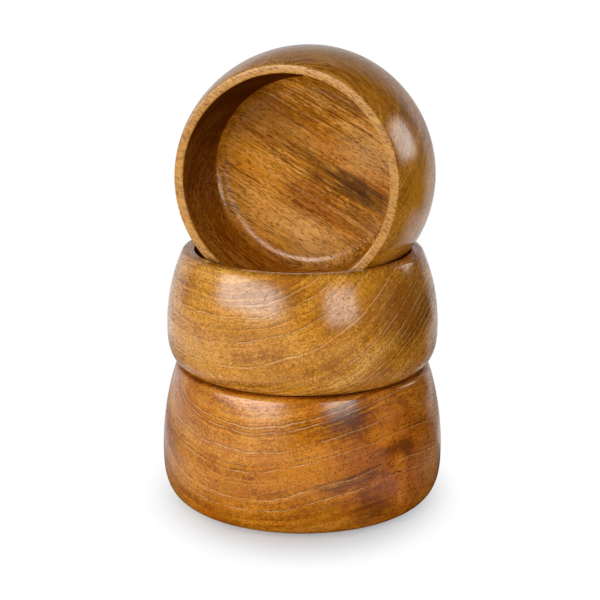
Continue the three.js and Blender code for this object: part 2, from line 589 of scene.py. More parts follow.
@dataclass(frozen=True)
class StainAndPaintedLight:
    """A cloud of another colour laid on the wood: a stain of the wood itself, painted shade or painted
    light. Its middle is in the bowl's own frame, in millimetres.

    Its reach is given across the grain sideways, across it along the bowl's axis, and along the grain.
    """

    centre: Point
    reach: Point
    strength: float
    colour: Colour
    edge: Span = (1.25, 0.1)

    def share(self, graph: Graph, grain: Grain, along: Wire, ragged: Wire | float) -> Wire:
        """Share of the cloud in the wood, from 0 outside it to 1 in its middle.

        Args:
            graph: Node tree of the wood.
            grain: How the wood lies.
            along: Points in the frame of the grain.
            ragged: What its edge is drawn in by.

        Returns:
            The wire of the share.
        """
        middle = grain.axes().inverted() @ (Vector(self.centre) * MILLIMETRE)
        offset = graph.vector("SUBTRACT", along, tuple(middle / MILLIMETRE))
        distance = graph.length(graph.vector("DIVIDE", offset, self.reach))
        return (distance + ragged).step(*self.edge)


@dataclass(frozen=True)
class StainsAndPaintedLight:
    """All clouds laid on a bowl's wood, stains and painted shade and light alike, ragged along the fibres
    and the growth; lengths in millimetres.
    """

    clouds: tuple[StainAndPaintedLight, ...]
    wander: float = 8.0
    wave_length: float = 10.0
    raggedness: float = 1.1
    fibre_squeeze: float = 0.1
    fibre_width: float = 2.5
    fibre_fineness: float = 0.65
    band_length: float = 2.6

    def lay(self, graph: Graph, grain: Grain, along: Wire, radius: Wire, colour: Wire) -> Wire:
        """Lay the stains, painted shade and painted light over the colour of the wood.

        Args:
            graph: Node tree of the wood.
            grain: How the wood lies.
            along: Points in the frame of the grain.
            radius: Distance from the pith.
            colour: The colour so far.

        Returns:
            The wire of the stained colour.
        """
        drawn = graph.squeezed(along, self.fibre_squeeze)
        fibres = graph.noise(drawn, self.fibre_width, detail=3.0, fineness=self.fibre_fineness)
        ragged = (fibres + graph.bands(radius, self.band_length, detail=3.0) - 1) * self.raggedness
        moved = graph.bent(along, self.wave_length, self.wander)
        for laid_cloud in self.clouds:
            share = laid_cloud.share(graph, grain, moved, ragged)
            colour = graph.blend(share * laid_cloud.strength, colour, laid_cloud.colour)
        return colour


@dataclass(frozen=True)
class Figure:
    """Flames of red and dark brown that rise where a branch left the trunk; lengths in millimetres."""

    cloud: StainAndPaintedLight
    glow: Colour = (0.640, 0.190, 0.006)
    stops: tuple[float, float, float, float] = (0.38, 0.47, 0.54, 0.64)
    wave_length: float = 14.0
    wave_reach: float = 16.0
    flame_squeeze: float = 0.45
    flame_length: float = 8.0
    flame_fineness: float = 0.62
    raggedness: float = 0.8
    line_fade: float = 0.7

    def calm(self, graph: Graph, grain: Grain, along: Wire, pale: Wire) -> Wire:
        """Let the pale growth lines fade in the figure."""
        return pale * (1 - self.cloud.share(graph, grain, along, 0.0) * self.line_fade)

    def lay(
        self, graph: Graph, grain: Grain, palette: Palette, local: Wire, along: Wire, colour: Wire,
    ) -> Wire:
        """Lay the flames over the colour of the wood.

        Args:
            graph: Node tree of the wood.
            grain: How the wood lies.
            palette: Colours of the wood.
            local: Points in the bowl's own frame.
            along: Points in the frame of the grain.
            colour: The colour so far.

        Returns:
            The wire of the figured colour.
        """
        drawn = graph.squeezed(graph.bent(local, self.wave_length, self.wave_reach), self.flame_squeeze)
        flames = graph.noise(drawn, self.flame_length, detail=4.0, fineness=self.flame_fineness)
        colours = (self.cloud.colour, palette.red, self.glow, palette.light)
        flamed = graph.ramp(flames, list(zip(self.stops, colours)))
        share = self.cloud.share(graph, grain, along, (flames - MIDDLE_TONE) * self.raggedness)
        return graph.blend(share * self.cloud.strength, colour, flamed)


@dataclass(frozen=True)
class Lacquer:
    """Semi-gloss lacquer, dry in the pores, on the inner wall and in parts of the cove.

    Lengths are in millimetres.
    """

    roughness: float = 0.17
    roughness_spread: float = 0.06
    spread_length: float = 6.0
    pore_roughness: float = 0.05
    inside_polish: float = 0.09
    cove_roughness: float = 0.15
    refraction: float = 1.5
    ripple_length: float = 26.0
    ripple_height: float = 0.35
    relief_length: float = 3.0
    relief_height: float = 0.01
    bump_strength: float = 0.35
    dry_share: float = 0.9
    dry_corner: Span = (0.5, 0.85)
    dry_corner_share: float = 0.8
    dry_cove: Span = (0.35, 0.65)

    def surface(
        self, graph: Graph, colour: Wire, local: Wire, along: Wire, pores: Wire, zones: Zones,
    ) -> Wire:
        """Put the lacquer over the wood.

        Args:
            graph: Node tree of the wood.
            colour: Colour of the wood.
            local: Points in the bowl's own frame.
            along: Points in the frame of the grain.
            pores: Share of the pores.
            zones: Parts of the bowl's surface.

        Returns:
            The wire of the shader.
        """
        polish = zones.inside * (zones.cove * self.cove_roughness - self.inside_polish)
        spread = (graph.noise(along, self.spread_length) - MIDDLE_TONE) * self.roughness_spread
        rough = spread + pores * self.pore_roughness + polish + self.roughness
        ripple = graph.noise(local, self.ripple_length, detail=1.0) * self.ripple_height
        height = ripple + graph.noise(along, self.relief_length) * self.relief_height
        bumps = {"Strength": self.bump_strength, "Distance": MILLIMETRE, "Height": height}
        normal = graph.node("ShaderNodeBump", {}, bumps)
        inputs = {"Base Color": colour, "Roughness": rough, "Normal": normal, "IOR": self.refraction}
        lacquered = graph.node("ShaderNodeBsdfPrincipled", {}, inputs)
        bare = graph.node("ShaderNodeBsdfPrincipled", {}, {"Base Color": colour, "Specular IOR Level": 0.0})
        upper_left = zones.back.step(*self.dry_corner) * (1 - zones.right)
        corner = zones.inside * upper_left * self.dry_corner_share
        cove = zones.cove * zones.back.step(*self.dry_cove).larger(zones.right)
        dry = zones.wall.larger(cove.larger(corner)).larger(pores) * self.dry_share
        return graph.node("ShaderNodeMixShader", {}, {0: dry, 1: lacquered, 2: bare})


@dataclass(frozen=True)
class MangoWood:
    """Lacquered mango wood of one bowl."""

    grain: Grain
    palette: Palette
    pores: Pores
    stains_and_painted_light: StainsAndPaintedLight
    tones: Tones = Tones()
    lines: GrowthLines = GrowthLines()
    hairlines: Hairlines = Hairlines(strength=0.0)
    figure: Figure | None = None
    lacquer: Lacquer = Lacquer()
    outer_contrast: float = 1.0
    rim_share: float = 0.0
    # Share of the painted shade on the inner wall.
    painted_wall_shade_share: float = 0.95
    pore_share: float = 0.95
    fibre_wave_length: float = 9.0
    fibre_wave_reach: float = 1.8

    def material(self, shape: "TurnedBowl") -> bpy.types.Material:
        """Make the node material.

        Args:
            shape: The bowl that is made of this wood.

        Returns:
            The material.
        """
        material = bpy.data.materials.new(f"{shape.node}_wood")
        material.use_nodes = True
        graph = Graph(material.node_tree)
        points = graph.node("ShaderNodeTexCoord", {}, {}, "Object")
        local = graph.mapped(points, shape.place)
        along = graph.mapped(points, shape.place @ self.grain.axes())
        zones = shape.zones(graph, local)
        radius = self.grain.ring_radius(graph, along)
        wavy = graph.bent(along, self.fibre_wave_length, self.fibre_wave_reach)
        pale, dark = self.lines.shares(graph, along, radius)
        pores = self.pores.share(graph, wavy, radius, dark, zones)
        contrast = zones.inside.larger(zones.rim) * (1 - self.outer_contrast) + self.outer_contrast
        tone = self.tones.offset(graph, wavy, radius) * contrast + MIDDLE_TONE
        colour = self.palette.plain(graph, along, tone)
        if self.figure is not None:
            pale = self.figure.calm(graph, self.grain, along, pale)
            colour = self.figure.lay(graph, self.grain, self.palette, local, along, colour)
        colour = self.stains_and_painted_light.lay(graph, self.grain, along, radius, colour)
        hairlines = self.hairlines.share(graph, wavy) * contrast
        coats = (
            (dark * self.lines.dark_share, self.palette.dark_line),
            (pale * self.lines.pale_share, self.palette.pale_line),
            (hairlines, self.palette.dark_line),
            # Painted shade on the inner wall, strongest towards the back of the bowl.
            (zones.wall * zones.back * self.painted_wall_shade_share, self.palette.painted_wall_shade),
            (zones.rim * self.rim_share, self.palette.rim),
            (pores * self.pore_share, self.palette.pore),
        )
        for share, coat in coats:
            colour = graph.blend(share, colour, coat)
        surface = self.lacquer.surface(graph, colour, local, along, pores, zones)
        graph.node("ShaderNodeOutputMaterial", {}, {"Surface": surface})
        return material


@dataclass
class TurnedBowl:
    """A bowl turned from one piece of wood; sizes in millimetres, the same as in the part's CAD source.

    Rings are shares of a radius, and the smooth angle is in degrees.
    """

    node: str
    body: str
    slot: str
    wood: MangoWood
    place: Matrix
    belly_diameter: float
    belly_height: float
    height: float
    rim_diameter: float
    rim_thickness: float
    rim_rounding: float
    base_diameter: float
    floor_diameter: float
    floor_thickness: float
    foot_fullness: float = 2.7
    inner_edge_rounding: float = 1.0
    inner_wall_swell: float = 2.2
    cove_width: float = 7.0
    cove_rise: float = 3.0
    base_rings: Span = (0.5, 0.9)
    floor_rings: tuple[float, float, float] = (0.6, 0.25, 0.0)
    foot_steps: int = 20
    wall_steps: int = 18
    rim_steps: int = 9
    inner_edge_steps: int = 6
    inner_wall_steps: int = 16
    cove_steps: int = 8
    turn_steps: int = 192
    merge_distance: float = 0.01
    smooth_angle: float = 35.0
    edges: ZoneEdges = ZoneEdges()
    section: list[Vector] = field(default_factory=list)

    @property
    def mouth(self) -> float:
        """Radius of the opening inside the rim."""
        return self.rim_diameter / 2 - self.rim_thickness

    @property
    def flat(self) -> float:
        """Radius of the flat of the floor inside the cove."""
        return self.floor_diameter / 2 - self.cove_width

    def _point(self, out: float, up: float) -> None:
        """Add a point to the section."""
        self.section.append(Vector((out, 0.0, up)) * MILLIMETRE)

    def _arc(self, centre: Span, radius: float, first: float, last: float, steps: int) -> None:
        """Add the points of an arc to the section, without its first point.

        Args:
            centre: Its centre, outwards and upwards.
            radius: Its radius.
            first: Angle of its start.
            last: Angle of its end.
            steps: Count of the points.
        """
        for step in range(1, steps + 1):
            angle = first + (last - first) * step / steps
            self._point(centre[0] + radius * math.cos(angle), centre[1] + radius * math.sin(angle))

    def _foot(self) -> None:
        """Flat base and the full curve from its edge to the belly."""
        base = self.base_diameter / 2
        spread = self.belly_diameter / 2 - base
        self._point(0.0, 0.0)
        for share in self.base_rings:
            self._point(base * share, 0.0)
        for step in range(self.foot_steps + 1):
            angle = step / self.foot_steps * math.pi / 2
            out = math.sin(angle) ** (2 / self.foot_fullness)
            up = 1 - max(math.cos(angle), 0.0) ** (2 / self.foot_fullness)
            self._point(base + spread * out, self.belly_height * up)

    def _wall(self) -> None:
        """Outer wall, rounded outer edge of the rim, flat of the rim and its inner edge."""
        rise = self.height - self.belly_height
        draw = (self.belly_diameter - self.rim_diameter) / 2
        arc = (rise ** 2 + draw ** 2) / (2 * draw)
        centre = self.belly_diameter / 2 - arc
        edge_height = self.height - self.rim_rounding
        reach = arc - self.rim_rounding
        edge_centre = centre + math.sqrt(reach ** 2 - (edge_height - self.belly_height) ** 2)
        end = math.atan2(edge_height - self.belly_height, edge_centre - centre)
        self._arc((centre, self.belly_height), arc, 0.0, end, self.wall_steps)
        self._arc((edge_centre, edge_height), self.rim_rounding, end, math.pi / 2, self.rim_steps)
        small = self.inner_edge_rounding
        self._point(self.mouth + small, self.height)
        inner_centre = (self.mouth + small, self.height - small)
        self._arc(inner_centre, small, math.pi / 2, math.pi, self.inner_edge_steps)

    def _inside(self) -> None:
        """Inner wall, the crisp line at its foot, the cove and the flat floor."""
        top = Vector((self.mouth, self.height - self.inner_edge_rounding))
        foot = Vector((self.floor_diameter / 2, self.floor_thickness + self.cove_rise))
        control = (top + foot) / 2 + Vector((2 * self.inner_wall_swell, 0.0))
        for step in range(1, self.inner_wall_steps + 1):
            share = step / self.inner_wall_steps
            point = top * (1 - share) ** 2 + control * (2 * share * (1 - share)) + foot * share ** 2
            self._point(point.x, point.y)
        arc = (self.cove_width ** 2 + self.cove_rise ** 2) / (2 * self.cove_rise)
        slope = math.asin(self.cove_width / arc)
        cove_centre = (self.flat, self.floor_thickness + arc)
        self._arc(cove_centre, arc, slope - math.pi / 2, -math.pi / 2, self.cove_steps)
        for share in self.floor_rings:
            self._point(self.flat * share, self.floor_thickness)

    def zones(self, graph: Graph, local: Wire) -> Zones:
        """Tell the parts of the bowl's surface apart.

        Args:
            graph: Node tree of the bowl's material.
            local: Points in the bowl's own frame.

        Returns:
            The parts.
        """
        aside, deep, height = graph.parts(local)
        out = graph.length(graph.squeezed(local, 0.0))
        foot = self.floor_thickness + self.cove_rise
        above_floor = height.step_near(self.floor_thickness, self.edges.floor)
        below_rim = height.step_near(self.height, self.edges.below_rim)
        inside = out.step_near(self.mouth, self.edges.mouth) * above_floor * below_rim
        past_flat = out.step_near(self.flat, self.edges.cove_start)
        return Zones(
            inside=inside,
            wall=inside * height.step_near(foot, self.edges.wall_foot),
            cove=inside * past_flat * height.step_near(foot, self.edges.cove_end),
            rim=height.step_near(self.height, self.edges.rim),
            back=deep.step(*self.edges.back),
            right=aside.step(*self.edges.right),
        )

    def build(self) -> bpy.types.Object:
        """Turn the bowl: draw its section by extruding one point, then spin it.

        Returns:
            The finished piece, with its place in its mesh.
        """
        self._foot()
        self._wall()
        self._inside()
        bpy.ops.object.select_all(action="DESELECT")
        bpy.ops.mesh.primitive_plane_add(size=self.base_diameter * MILLIMETRE)
        piece = bpy.context.active_object
        piece.name = f"dressed_{self.node}"
        bpy.ops.object.mode_set(mode="EDIT")
        bpy.ops.mesh.merge(type="CENTER")
        for start, end in zip(self.section, self.section[1:]):
            bpy.ops.mesh.extrude_region_move(TRANSFORM_OT_translate={"value": end - start})
        bpy.ops.mesh.select_all(action="SELECT")
        bpy.ops.mesh.spin(steps=self.turn_steps, angle=math.tau, center=(0, 0, 0), axis=(0, 0, 1))
        bpy.ops.mesh.select_all(action="SELECT")
        bpy.ops.mesh.remove_doubles(threshold=self.merge_distance * MILLIMETRE)
        bpy.ops.mesh.normals_make_consistent(inside=False)
        bpy.ops.object.mode_set(mode="OBJECT")
        bpy.ops.object.shade_smooth_by_angle(angle=math.radians(self.smooth_angle))
        piece.matrix_world = self.place
        bpy.ops.object.transform_apply(location=True, rotation=True, scale=True)
        return piece

    def dress(self, piece: bpy.types.Object) -> None:
        """Give the piece its wood, and tie it to its body.

        Args:
            piece: The turned bowl.
        """
        piece.data.materials.clear()
        piece.data.materials.append(self.wood.material(self))
        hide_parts(self.node)
        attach(piece, self.body)


@dataclass(frozen=True)
class SoftBox:
    """A soft studio lamp; angles in degrees round the stack, 0 towards the camera, sizes in metres."""

    name: str
    duty: Duty
    azimuth: float
    elevation: float
    distance: float
    width: float
    height: float
    radiance: float
    edge: Edge = Edge.EVEN
    fade: Span = (1.0, 0.5)
    squareness: int = 4

    def build(self, target: Vector) -> None:
        """Hang the lamp so that it faces a point.

        Args:
            target: The point it faces.
        """
        lamp = bpy.data.lights.new(self.name, "AREA")
        lamp.shape = "RECTANGLE"
        lamp.size = self.width
        lamp.size_y = self.height
        # A flat lamp of even radiance gives off pi times its area times that radiance.
        lamp.energy = math.pi * self.width * self.height * self.radiance
        if self.edge is Edge.FADING:
            self._soften(lamp)
        holder = bpy.data.objects.new(self.name, lamp)
        bpy.context.scene.collection.objects.link(holder)
        azimuth, elevation = math.radians(self.azimuth), math.radians(self.elevation)
        flat = math.cos(elevation)
        away = Vector((math.sin(azimuth) * flat, -math.cos(azimuth) * flat, math.sin(elevation)))
        holder.visible_diffuse, holder.visible_glossy = self.duty.value
        holder.visible_camera = False
        holder.location = target + away * self.distance
        holder.rotation_euler = away.to_track_quat("Z", "Y").to_euler()

    def _soften(self, lamp: bpy.types.Light) -> None:
        """Let the lamp fade from its middle to its edge, as cloth over a bulb does.

        Args:
            lamp: The lamp.
        """
        lamp.use_nodes = True
        graph = Graph(lamp.node_tree)
        # The place on the lamp runs from 0 to 1 both ways, and is made to run from -1 to 1.
        place = graph.node("ShaderNodeNewGeometry", {}, {}, "Parametric")
        offset = graph.vector("SUBTRACT", place, (0.5, 0.5, 0.0))
        aside, up, _ = graph.parts(graph.vector("MULTIPLY", offset, (2.0, 2.0, 0.0)))
        share = (aside ** self.squareness + up ** self.squareness) ** (1 / self.squareness)
        glow = graph.node("ShaderNodeEmission", {}, {"Strength": share.step(*self.fade)})
        graph.node("ShaderNodeOutputLight", {}, {"Surface": glow})


@dataclass(frozen=True)
class Viewpoint:
    """The camera of the picture; lengths in metres, angles in degrees, the focal length in pixels."""

    side: float
    distance: float
    height: float
    pitch: float
    roll: float
    focal: float

    def build(self) -> None:
        """Set up the scene's camera."""
        camera = bpy.data.cameras.new("camera")
        camera.sensor_width = SENSOR_WIDTH
        camera.lens = self.focal / PHOTO_WIDTH * SENSOR_WIDTH
        holder = bpy.data.objects.new("camera", camera)
        bpy.context.scene.collection.objects.link(holder)
        tilt = Matrix.Rotation(math.pi / 2 - math.radians(self.pitch), 4, "X")
        spin = Matrix.Rotation(math.radians(self.roll), 4, "Z")
        place = Matrix.Translation((self.side, -self.distance, self.height))
        holder.matrix_world = place @ tilt @ spin
        bpy.context.scene.camera = holder


@dataclass(frozen=True)
class StudioFloor:
    """Round pale floor that keeps the shadow near the stack and fades into the white behind; in metres.

    Lacquer mirrors it with a level of its own, which has dark and bright parts as a studio has.
    A side is the sideways part of a direction, from -1 on the left to 1 on the right.
    """

    radius: float = 1.2
    corners: int = 96
    colour: Colour = (0.76, 0.76, 0.76)
    lift: Colour = (0.165, 0.205, 0.230)
    narrowing: Point = (1.25, 1.0, 1.0)
    fade: Span = (0.063, 0.118)
    shine_reach: Span = (0.09, 0.18)
    near_dark_side: Span = (0.93, 0.83)
    near_reach: Span = (0.68, 0.5)
    foot_reach: Span = (0.36, 0.24)
    foot_share: float = 0.28
    left_side: Span = (-0.2, -0.7)
    left_reach: Span = (0.22, 0.4)
    left_gain: float = 0.3
    dip_start: Span = (0.18, 0.24)
    dip_end: Span = (0.4, 0.32)
    dip_depth: float = 0.5

    def build(self) -> None:
        """Make the floor and its material."""
        bpy.ops.object.select_all(action="DESELECT")
        bpy.ops.mesh.primitive_circle_add(vertices=self.corners, radius=self.radius, fill_type="NGON")
        floor = bpy.context.active_object
        floor.name = "studio_floor"
        floor.data.materials.append(self._material())

    def _material(self) -> bpy.types.Material:
        """Make the node material.

        Returns:
            The material.
        """
        material = bpy.data.materials.new("studio_floor")
        material.use_nodes = True
        graph = Graph(material.node_tree)
        points = graph.node("ShaderNodeTexCoord", {}, {}, "Object")
        away = graph.length(graph.vector("MULTIPLY", points, self.narrowing))
        camera = graph.node("ShaderNodeLightPath", {}, {}, "Is Camera Ray")
        glossy = camera.other("Is Glossy Ray")
        lit = graph.node("ShaderNodeBsdfDiffuse", {}, {"Color": (*self.colour, 1.0)})
        lift = graph.node("ShaderNodeEmission", {}, {"Color": (*self.lift, 1.0), "Strength": camera})
        lifted = graph.node("ShaderNodeAddShader", {}, {0: lit, 1: lift})
        white = graph.node("ShaderNodeEmission", {}, {"Strength": 1.0})
        far = away.step(*self.fade) * camera
        seen = graph.node("ShaderNodeMixShader", {}, {0: far, 1: lifted, 2: white})
        shine = graph.node("ShaderNodeEmission", {}, {"Strength": self._mirrored(graph, points, away)})
        mixed = graph.node("ShaderNodeMixShader", {}, {0: glossy, 1: seen, 2: shine})
        graph.node("ShaderNodeOutputMaterial", {}, {"Surface": mixed})
        return material

    def _mirrored(self, graph: Graph, points: Wire, away: Wire) -> Wire:
        """Level of the floor as lacquer mirrors it.

        Args:
            graph: Node tree of the floor.
            points: Points of the floor.
            away: Their distance from the stack.

        Returns:
            The wire of the level.
        """
        side, _, _ = graph.parts(graph.vector("NORMALIZE", points, (0.0, 0.0, 0.0)))
        near = side.step(*self.near_dark_side) * away.step(*self.near_reach)
        foot = away.step(*self.foot_reach) * self.foot_share
        bright = side.step(*DARK_SIDE).larger(near).larger(foot)
        left = side.step(*self.left_side) * away.step(*self.left_reach) * self.left_gain
        dip = away.step(*self.dip_start) * away.step(*self.dip_end) * self.dip_depth
        return away.step(*self.shine_reach) * bright * (left + MIRRORED_FLOOR) * (1 - dip)


@dataclass(frozen=True)
class Surroundings:
    """White behind for the camera, an even, weaker light from all round, and what lacquer mirrors.

    Spans are parts of a direction, from -1 to 1: sideways, into the depth or upwards.
    """

    ambient: float = 0.17
    behind: Span = (0.68, 0.8)
    behind_level: float = 0.72
    upper: Span = (0.15, 0.5)
    upper_drop: float = 0.4
    left_depth: Span = (0.3, 0.7)
    left_side: Span = (-0.2, -0.5)
    far_left: Span = (-0.65, -0.95)
    far_left_level: float = 0.35
    below: Span = (-0.09, -0.16)
    least_level: float = 0.02

    def build(self) -> None:
        """Make the world of the scene."""
        world = bpy.data.worlds.new("studio")
        bpy.context.scene.world = world
        world.use_nodes = True
        graph = Graph(world.node_tree)
        camera = graph.node("ShaderNodeLightPath", {}, {}, "Is Camera Ray")
        glossy = camera.other("Is Glossy Ray")
        seen = camera.larger(camera.other("Is Transmission Ray"))
        unseen = glossy * self._mirrored(graph) + (1 - glossy) * self.ambient
        strength = seen + (1 - seen) * unseen
        white = (1.0, 1.0, 1.0, 1.0)
        background = graph.node("ShaderNodeBackground", {}, {"Color": white, "Strength": strength})
        graph.node("ShaderNodeOutputWorld", {}, {"Surface": background})

    def _mirrored(self, graph: Graph) -> Wire:
        """Level of the surroundings as lacquer mirrors them.

        Args:
            graph: Node tree of the world.

        Returns:
            The wire of the level.
        """
        side, depth, rise = graph.parts(graph.node("ShaderNodeTexCoord", {}, {}, "Generated"))
        level = self.behind_level - rise.step(*self.upper) * self.upper_drop
        behind = depth.step(*self.behind) * level
        left = depth.step(*self.left_depth) * side.step(*self.left_side)
        far_left = side.step(*self.far_left) * self.far_left_level
        below = rise.step(*self.below) * side.step(*DARK_SIDE) * MIRRORED_FLOOR
        return behind.larger(left.larger(far_left)).larger(below) + self.least_level


@dataclass(frozen=True)
class Studio:
    """White floor, white surroundings and soft lamps."""

    floor: StudioFloor = StudioFloor()
    surroundings: Surroundings = Surroundings()
    lamp_target: Point = (0.0, 0.0, 0.13)
    lamps: tuple[SoftBox, ...] = (
        SoftBox(
            "key_lamp", Duty.LIGHT, azimuth=-30, elevation=7, distance=1.3,
            width=0.9, height=0.6, radiance=7.2,
        ),
        SoftBox(
            "fill_lamp", Duty.LIGHT, azimuth=72, elevation=4, distance=1.3,
            width=0.6, height=0.5, radiance=3.6,
        ),
        SoftBox(
            "top_lamp", Duty.LIGHT, azimuth=-15, elevation=60, distance=1.3,
            width=0.8, height=0.6, radiance=1.2,
        ),
        SoftBox(
            "back_lamp", Duty.LIGHT, azimuth=180, elevation=14, distance=1.3,
            width=0.9, height=0.6, radiance=2.6,
        ),
        SoftBox(
            "left_card", Duty.SHINE, azimuth=-49, elevation=17.5, distance=1.3,
            width=1.9, height=0.6, radiance=8.2, edge=Edge.FADING,
        ),
        SoftBox(
            "right_card", Duty.SHINE, azimuth=31, elevation=12.5, distance=0.47,
            width=0.28, height=0.23, radiance=6.8, edge=Edge.FADING,
        ),
        SoftBox(
            "back_card", Duty.SHINE, azimuth=111.5, elevation=21, distance=0.5,
            width=0.20, height=0.23, radiance=4.0, edge=Edge.FADING,
        ),
    )

    def build(self) -> None:
        """Make the floor, the surroundings and the lamps."""
        self.floor.build()
        self.surroundings.build()
        for lamp in self.lamps:
            lamp.build(Vector(self.lamp_target))


def lying_place(base: Point, turn: float, lean: float) -> Matrix:
    """Place of a bowl on its side.

    Args:
        base: Middle of its base, in millimetres.
        turn: Degrees that its mouth is turned from the front towards -X.
        lean: Degrees that its mouth is raised.

    Returns:
        Its matrix, in metres.
    """
    spin = Matrix.Rotation(-math.radians(turn), 4, "Z")
    tip = Matrix.Rotation(math.pi / 2 - math.radians(lean), 4, "X")
    return Matrix.Translation(Vector(base) * MILLIMETRE) @ spin @ tip


def lower_wood() -> MangoWood:
    """Wood of the largest bowl, with flames and dark flecks on its right.

    Returns:
        The wood.
    """
    fleck = (0.140, 0.031, 0.003)
    glow = (0.72, 0.225, 0.008)
    clouds = (
        StainAndPaintedLight((-1.0, -78.0, 40.0), (22.0, 26.0, 22.0), 0.5, (0.680, 0.235, 0.008)),
        StainAndPaintedLight((48.0, -58.0, 36.0), (40.0, 50.0, 46.0), 0.8, (0.500, 0.112, 0.002)),
        StainAndPaintedLight((30.4, -72.4, 43.0), (14.0, 8.0, 14.0), 0.55, (0.340, 0.082, 0.006)),
        StainAndPaintedLight((24.0, -70.5, 66.0), (17.0, 13.0, 18.0), 0.85, (0.090, 0.034, 0.022)),
    )
    flecks = (
        StainAndPaintedLight((14.6, -78.1, 29.5), (11.0, 3.5, 11.0), 0.7, fleck),
        StainAndPaintedLight((25.2, -75.2, 32.0), (15.0, 5.0, 13.0), 0.75, fleck),
        StainAndPaintedLight((35.9, -70.5, 35.5), (14.0, 5.5, 12.0), 0.75, fleck),
        StainAndPaintedLight((45.7, -63.8, 44.8), (16.0, 5.0, 12.0), 0.75, fleck),
        StainAndPaintedLight((55.9, -55.0, 45.0), (10.0, 7.0, 9.0), 0.7, fleck),
        StainAndPaintedLight((36.7, -70.4, 22.0), (14.0, 8.0, 13.0), 0.75, fleck),
    )
    # A dark patch of the wood near the foot, then painted shade, darker towards the base in front.
    foot_patch_and_painted_shade = (
        StainAndPaintedLight((39.0, -68.0, 12.0), (20.0, 8.0, 18.0), 0.75, (0.125, 0.027, 0.002)),
        StainAndPaintedLight((2.0, -70.0, 5.0), (38.0, 26.0, 15.0), 0.38, (0.350, 0.106, 0.006)),
    )
    glows = (
        StainAndPaintedLight((52.5, -59.1, 37.0), (4.5, 7.0, 4.5), 0.9, glow),
        StainAndPaintedLight((54.0, -58.1, 20.0), (4.5, 14.0, 4.5), 0.9, glow),
        StainAndPaintedLight((45.0, -62.0, 54.0), (13.0, 6.0, 13.0), 0.8, glow),
        StainAndPaintedLight((73.0, -31.0, 26.0), (17.0, 20.0, 17.0), 0.75, (0.720, 0.250, 0.020)),
    )
    return MangoWood(
        grain=Grain(heading=-41.0, pith=(21.5, 0.0, 149.0)),
        palette=Palette(
            dark=(0.250, 0.062, 0.003), golden=(0.590, 0.196, 0.008), light=(0.760, 0.320, 0.032),
            yellow=(0.610, 0.238, 0.006), red=(0.490, 0.120, 0.005),
        ),
        pores=Pores(spacing=0.66, outer_share=0.56, inner_share=0.55, rim_share=0.6),
        stains_and_painted_light=StainsAndPaintedLight(clouds + flecks + foot_patch_and_painted_shade + glows, wander=9.0),
        tones=Tones(mottle_contrast=0.65),
        lines=GrowthLines(rings=(88.6, 91.8, 102.0, 112.0, 127.0, 133.4)),
        figure=Figure(StainAndPaintedLight((48.0, -58.0, 32.0), (36.0, 55.0, 36.0), 0.85, (0.130, 0.034, 0.004))),
        lacquer=Lacquer(roughness=0.18),
        painted_wall_shade_share=0.4,
    )


def middle_wood() -> MangoWood:
    """Wood of the golden bowl in the middle, with long growth arcs.

    Returns:
        The wood.
    """
    # The first darkens the right side: redder, darker wood there, with painted shade on that side.
    shades = (
        StainAndPaintedLight((56.0, -50.0, 43.0), (25.0, 26.0, 44.0), 0.85, (0.280, 0.074, 0.001)),
        StainAndPaintedLight((-37.9, -64.8, 36.0), (18.0, 8.0, 18.0), 0.5, (0.400, 0.150, 0.015)),
        StainAndPaintedLight((-27.0, -65.0, 55.0), (26.0, 12.0, 26.0), 0.7, (0.300, 0.120, 0.020)),
        StainAndPaintedLight((19.3, -70.0, 48.0), (14.0, 12.0, 14.0), 0.6, (0.360, 0.130, 0.012)),
    )
    pale_patches = (
        StainAndPaintedLight((-54.0, -53.0, 20.0), (20.0, 12.0, 24.0), 0.55, (0.780, 0.380, 0.070)),
        StainAndPaintedLight((-22.0, -72.0, 15.0), (20.0, 9.0, 20.0), 0.55, (0.740, 0.330, 0.050)),
    )
    rings = (97.1, 103.3, 115.4, 128.0, 143.6, 149.7, 153.2, 156.6, 159.5, 163.0)
    return MangoWood(
        grain=Grain(heading=1.5, pith=(-51.5, 0.0, 144.5)),
        palette=Palette(
            dark=(0.300, 0.100, 0.005), golden=(0.620, 0.242, 0.015), light=(0.820, 0.395, 0.066),
            yellow=(0.640, 0.265, 0.010), red=(0.510, 0.160, 0.008),
        ),
        pores=Pores(spacing=0.77, outer_share=0.61, inner_share=0.55, rim_share=0.6),
        stains_and_painted_light=StainsAndPaintedLight(shades + pale_patches),
        tones=Tones(mottle_contrast=0.6),
        lines=GrowthLines(rings=rings, pale_share=0.72),
        painted_wall_shade_share=0.8,
    )


